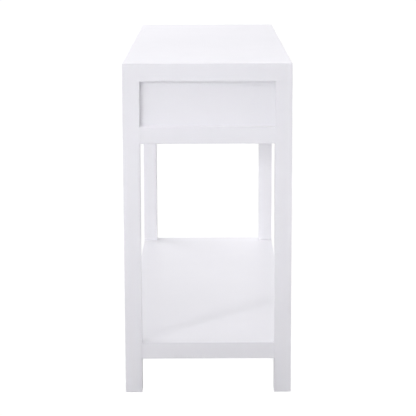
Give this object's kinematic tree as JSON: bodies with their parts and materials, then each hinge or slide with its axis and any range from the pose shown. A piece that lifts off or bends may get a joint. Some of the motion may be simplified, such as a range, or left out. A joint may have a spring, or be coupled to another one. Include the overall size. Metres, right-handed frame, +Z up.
{
  "type": "console table",
  "caption": "Long narrow side table on square legs, with a thick top, shallow drawers behind flush fronts with finger scoops, and a thick open shelf near the floor.",
  "frame": {"origin": "on the floor under the middle of the table, at the bottom centre of its box", "axes": "+X along the table's length, -Y out of the drawer fronts, +Z up"},
  "size_m": [1.28, 0.4, 0.8],
  "materials": {
    "white_lacquer": "satin white lacquer on fibreboard",
    "white_board": "matt white melamine-faced board",
    "beech": "raw beech",
    "zinc_plated_steel": "zinc plated, satin",
    "nylon": "white nylon"
  },
  "bodies": {
    "table": {"case_floor": "white_board", "case_side_left": "white_lacquer", "case_side_right": "white_lacquer", "divider": "white_board", "end_rail_left": "white_lacquer", "end_rail_right": "white_lacquer", "front_rail": "white_lacquer", "glide_front_left": "nylon", "glide_front_right": "nylon", "glide_rear_left": "nylon", "glide_rear_right": "nylon", "left_drawer_left_channel": "zinc_plated_steel", "left_drawer_right_channel": "zinc_plated_steel", "leg_front_left": "white_lacquer", "leg_front_right": "white_lacquer", "leg_rear_left": "white_lacquer", "leg_rear_right": "white_lacquer", "rear_panel": "white_lacquer", "rear_rail": "white_lacquer", "right_drawer_left_channel": "zinc_plated_steel", "right_drawer_right_channel": "zinc_plated_steel", "shelf": "white_lacquer", "tenon_end_rail_front_left": "beech", "tenon_end_rail_front_right": "beech", "tenon_end_rail_rear_left": "beech", "tenon_end_rail_rear_right": "beech", "tenon_front_rail_left": "beech", "tenon_front_rail_right": "beech", "tenon_rear_rail_left": "beech", "tenon_rear_rail_right": "beech", "tenon_shelf_front_left": "beech", "tenon_shelf_front_right": "beech", "tenon_shelf_rear_left": "beech", "tenon_shelf_rear_right": "beech", "tenon_top_front_left": "beech", "tenon_top_front_right": "beech", "tenon_top_rear_left": "beech", "tenon_top_rear_right": "beech", "top_slab": "white_lacquer"},
    "left_drawer": {"left_drawer_back": "white_board", "left_drawer_bottom": "white_board", "left_drawer_front": "white_lacquer", "left_drawer_inner_front": "white_board", "left_drawer_left_runner": "zinc_plated_steel", "left_drawer_left_side": "white_board", "left_drawer_right_runner": "zinc_plated_steel", "left_drawer_right_side": "white_board"},
    "left_drawer_cages": {"left_drawer_left_cage": "zinc_plated_steel", "left_drawer_right_cage": "zinc_plated_steel"},
    "right_drawer": {"right_drawer_back": "white_board", "right_drawer_bottom": "white_board", "right_drawer_front": "white_lacquer", "right_drawer_inner_front": "white_board", "right_drawer_left_runner": "zinc_plated_steel", "right_drawer_left_side": "white_board", "right_drawer_right_runner": "zinc_plated_steel", "right_drawer_right_side": "white_board"},
    "right_drawer_cages": {"right_drawer_left_cage": "zinc_plated_steel", "right_drawer_right_cage": "zinc_plated_steel"}
  },
  "joints": [
    {"name": "left_drawer_slide", "type": "slide", "parent": "table", "child": "left_drawer", "axis": [0, -1, 0], "range_m": [0, 0.2]},
    {"name": "right_drawer_slide", "type": "slide", "parent": "table", "child": "right_drawer", "axis": [0, -1, 0], "range_m": [0, 0.2]},
    {"name": "left_drawer_cages_slide", "type": "slide", "parent": "table", "child": "left_drawer_cages", "axis": [0, -1, 0], "range_m": [0, 0.1]},
    {"name": "right_drawer_cages_slide", "type": "slide", "parent": "table", "child": "right_drawer_cages", "axis": [0, -1, 0], "range_m": [0, 0.1]}
  ],
  "couplings": [
    {"joint": "left_drawer_cages_slide", "follows": "left_drawer_slide", "ratio": 0.5},
    {"joint": "right_drawer_cages_slide", "follows": "right_drawer_slide", "ratio": 0.5}
  ]
}
